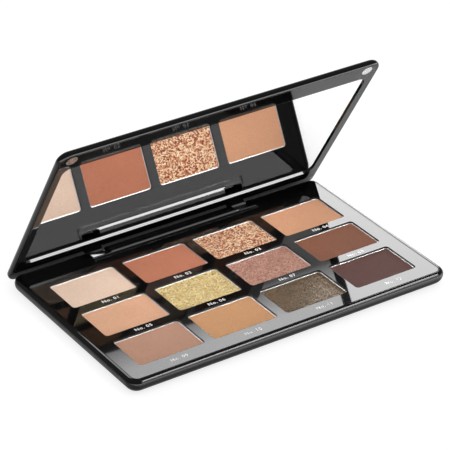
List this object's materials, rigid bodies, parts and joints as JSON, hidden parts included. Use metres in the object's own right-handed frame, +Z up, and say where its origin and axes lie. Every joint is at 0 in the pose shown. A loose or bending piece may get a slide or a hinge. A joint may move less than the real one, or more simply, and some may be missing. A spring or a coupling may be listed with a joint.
{
  "type": "eyeshadow palette",
  "caption": "Slim clamshell eyeshadow palette: pressed powders in metal pans set in a moulded tray, under a mirrored lid that turns on a friction hinge.",
  "frame": {"origin": "centre of the base's flat underside, on the surface the palette stands on", "axes": "+X along the case and the hinge, to the right for someone facing the open palette; +Y towards the hinge; +Z up"},
  "size_m": [0.151, 0.0999, 0.0832],
  "materials": {
    "case_black": "gloss",
    "tray_black": "gloss",
    "frame_black": "gloss",
    "tinplate": "bright rolled tinplate",
    "steel_pin": "drawn",
    "magnet_nickel": "nickel plate",
    "mirror_silver": "polished",
    "tape_white": "adhesive sheet",
    "glue_clear": "set hot-melt glue",
    "powder_cream": "pressed matte powder",
    "powder_terracotta": "pressed matte powder",
    "powder_copper": "pressed glitter powder",
    "powder_tan": "pressed matte powder",
    "powder_peach": "pressed matte powder",
    "powder_gold": "pressed shimmer powder",
    "powder_mauve": "pressed shimmer powder",
    "powder_redbrown": "pressed matte powder",
    "powder_taupe": "pressed matte powder",
    "powder_caramel": "pressed matte powder",
    "powder_olive": "pressed shimmer powder",
    "powder_plum": "pressed matte powder"
  },
  "bodies": {
    "base": {"base_shell": "case_black", "pan_tray": "tray_black", "pan_glue_pads": "glue_clear", "pan_01": "tinplate", "pan_02": "tinplate", "pan_03": "tinplate", "pan_04": "tinplate", "pan_05": "tinplate", "pan_06": "tinplate", "pan_07": "tinplate", "pan_08": "tinplate", "pan_09": "tinplate", "pan_10": "tinplate", "pan_11": "tinplate", "pan_12": "tinplate", "powder_01": "powder_cream", "powder_02": "powder_terracotta", "powder_03": "powder_copper", "powder_04": "powder_tan", "powder_05": "powder_peach", "powder_06": "powder_gold", "powder_07": "powder_mauve", "powder_08": "powder_redbrown", "powder_09": "powder_taupe", "powder_10": "powder_caramel", "powder_11": "powder_olive", "powder_12": "powder_plum", "base_magnet_left": "magnet_nickel", "base_magnet_right": "magnet_nickel", "hinge_pin_left": "steel_pin", "hinge_pin_right": "steel_pin"},
    "lid": {"lid_shell": "case_black", "mirror_frame": "frame_black", "mirror_tape": "tape_white", "mirror_glass": "mirror_silver", "lid_magnet_left": "magnet_nickel", "lid_magnet_right": "magnet_nickel"}
  },
  "joints": [
    {"name": "lid_hinge", "type": "hinge", "parent": "base", "child": "lid", "pos_m": [0, 0.04395, 0.00212], "axis": [-1, 0, 0], "range_deg": [-58, 24]}
  ]
}
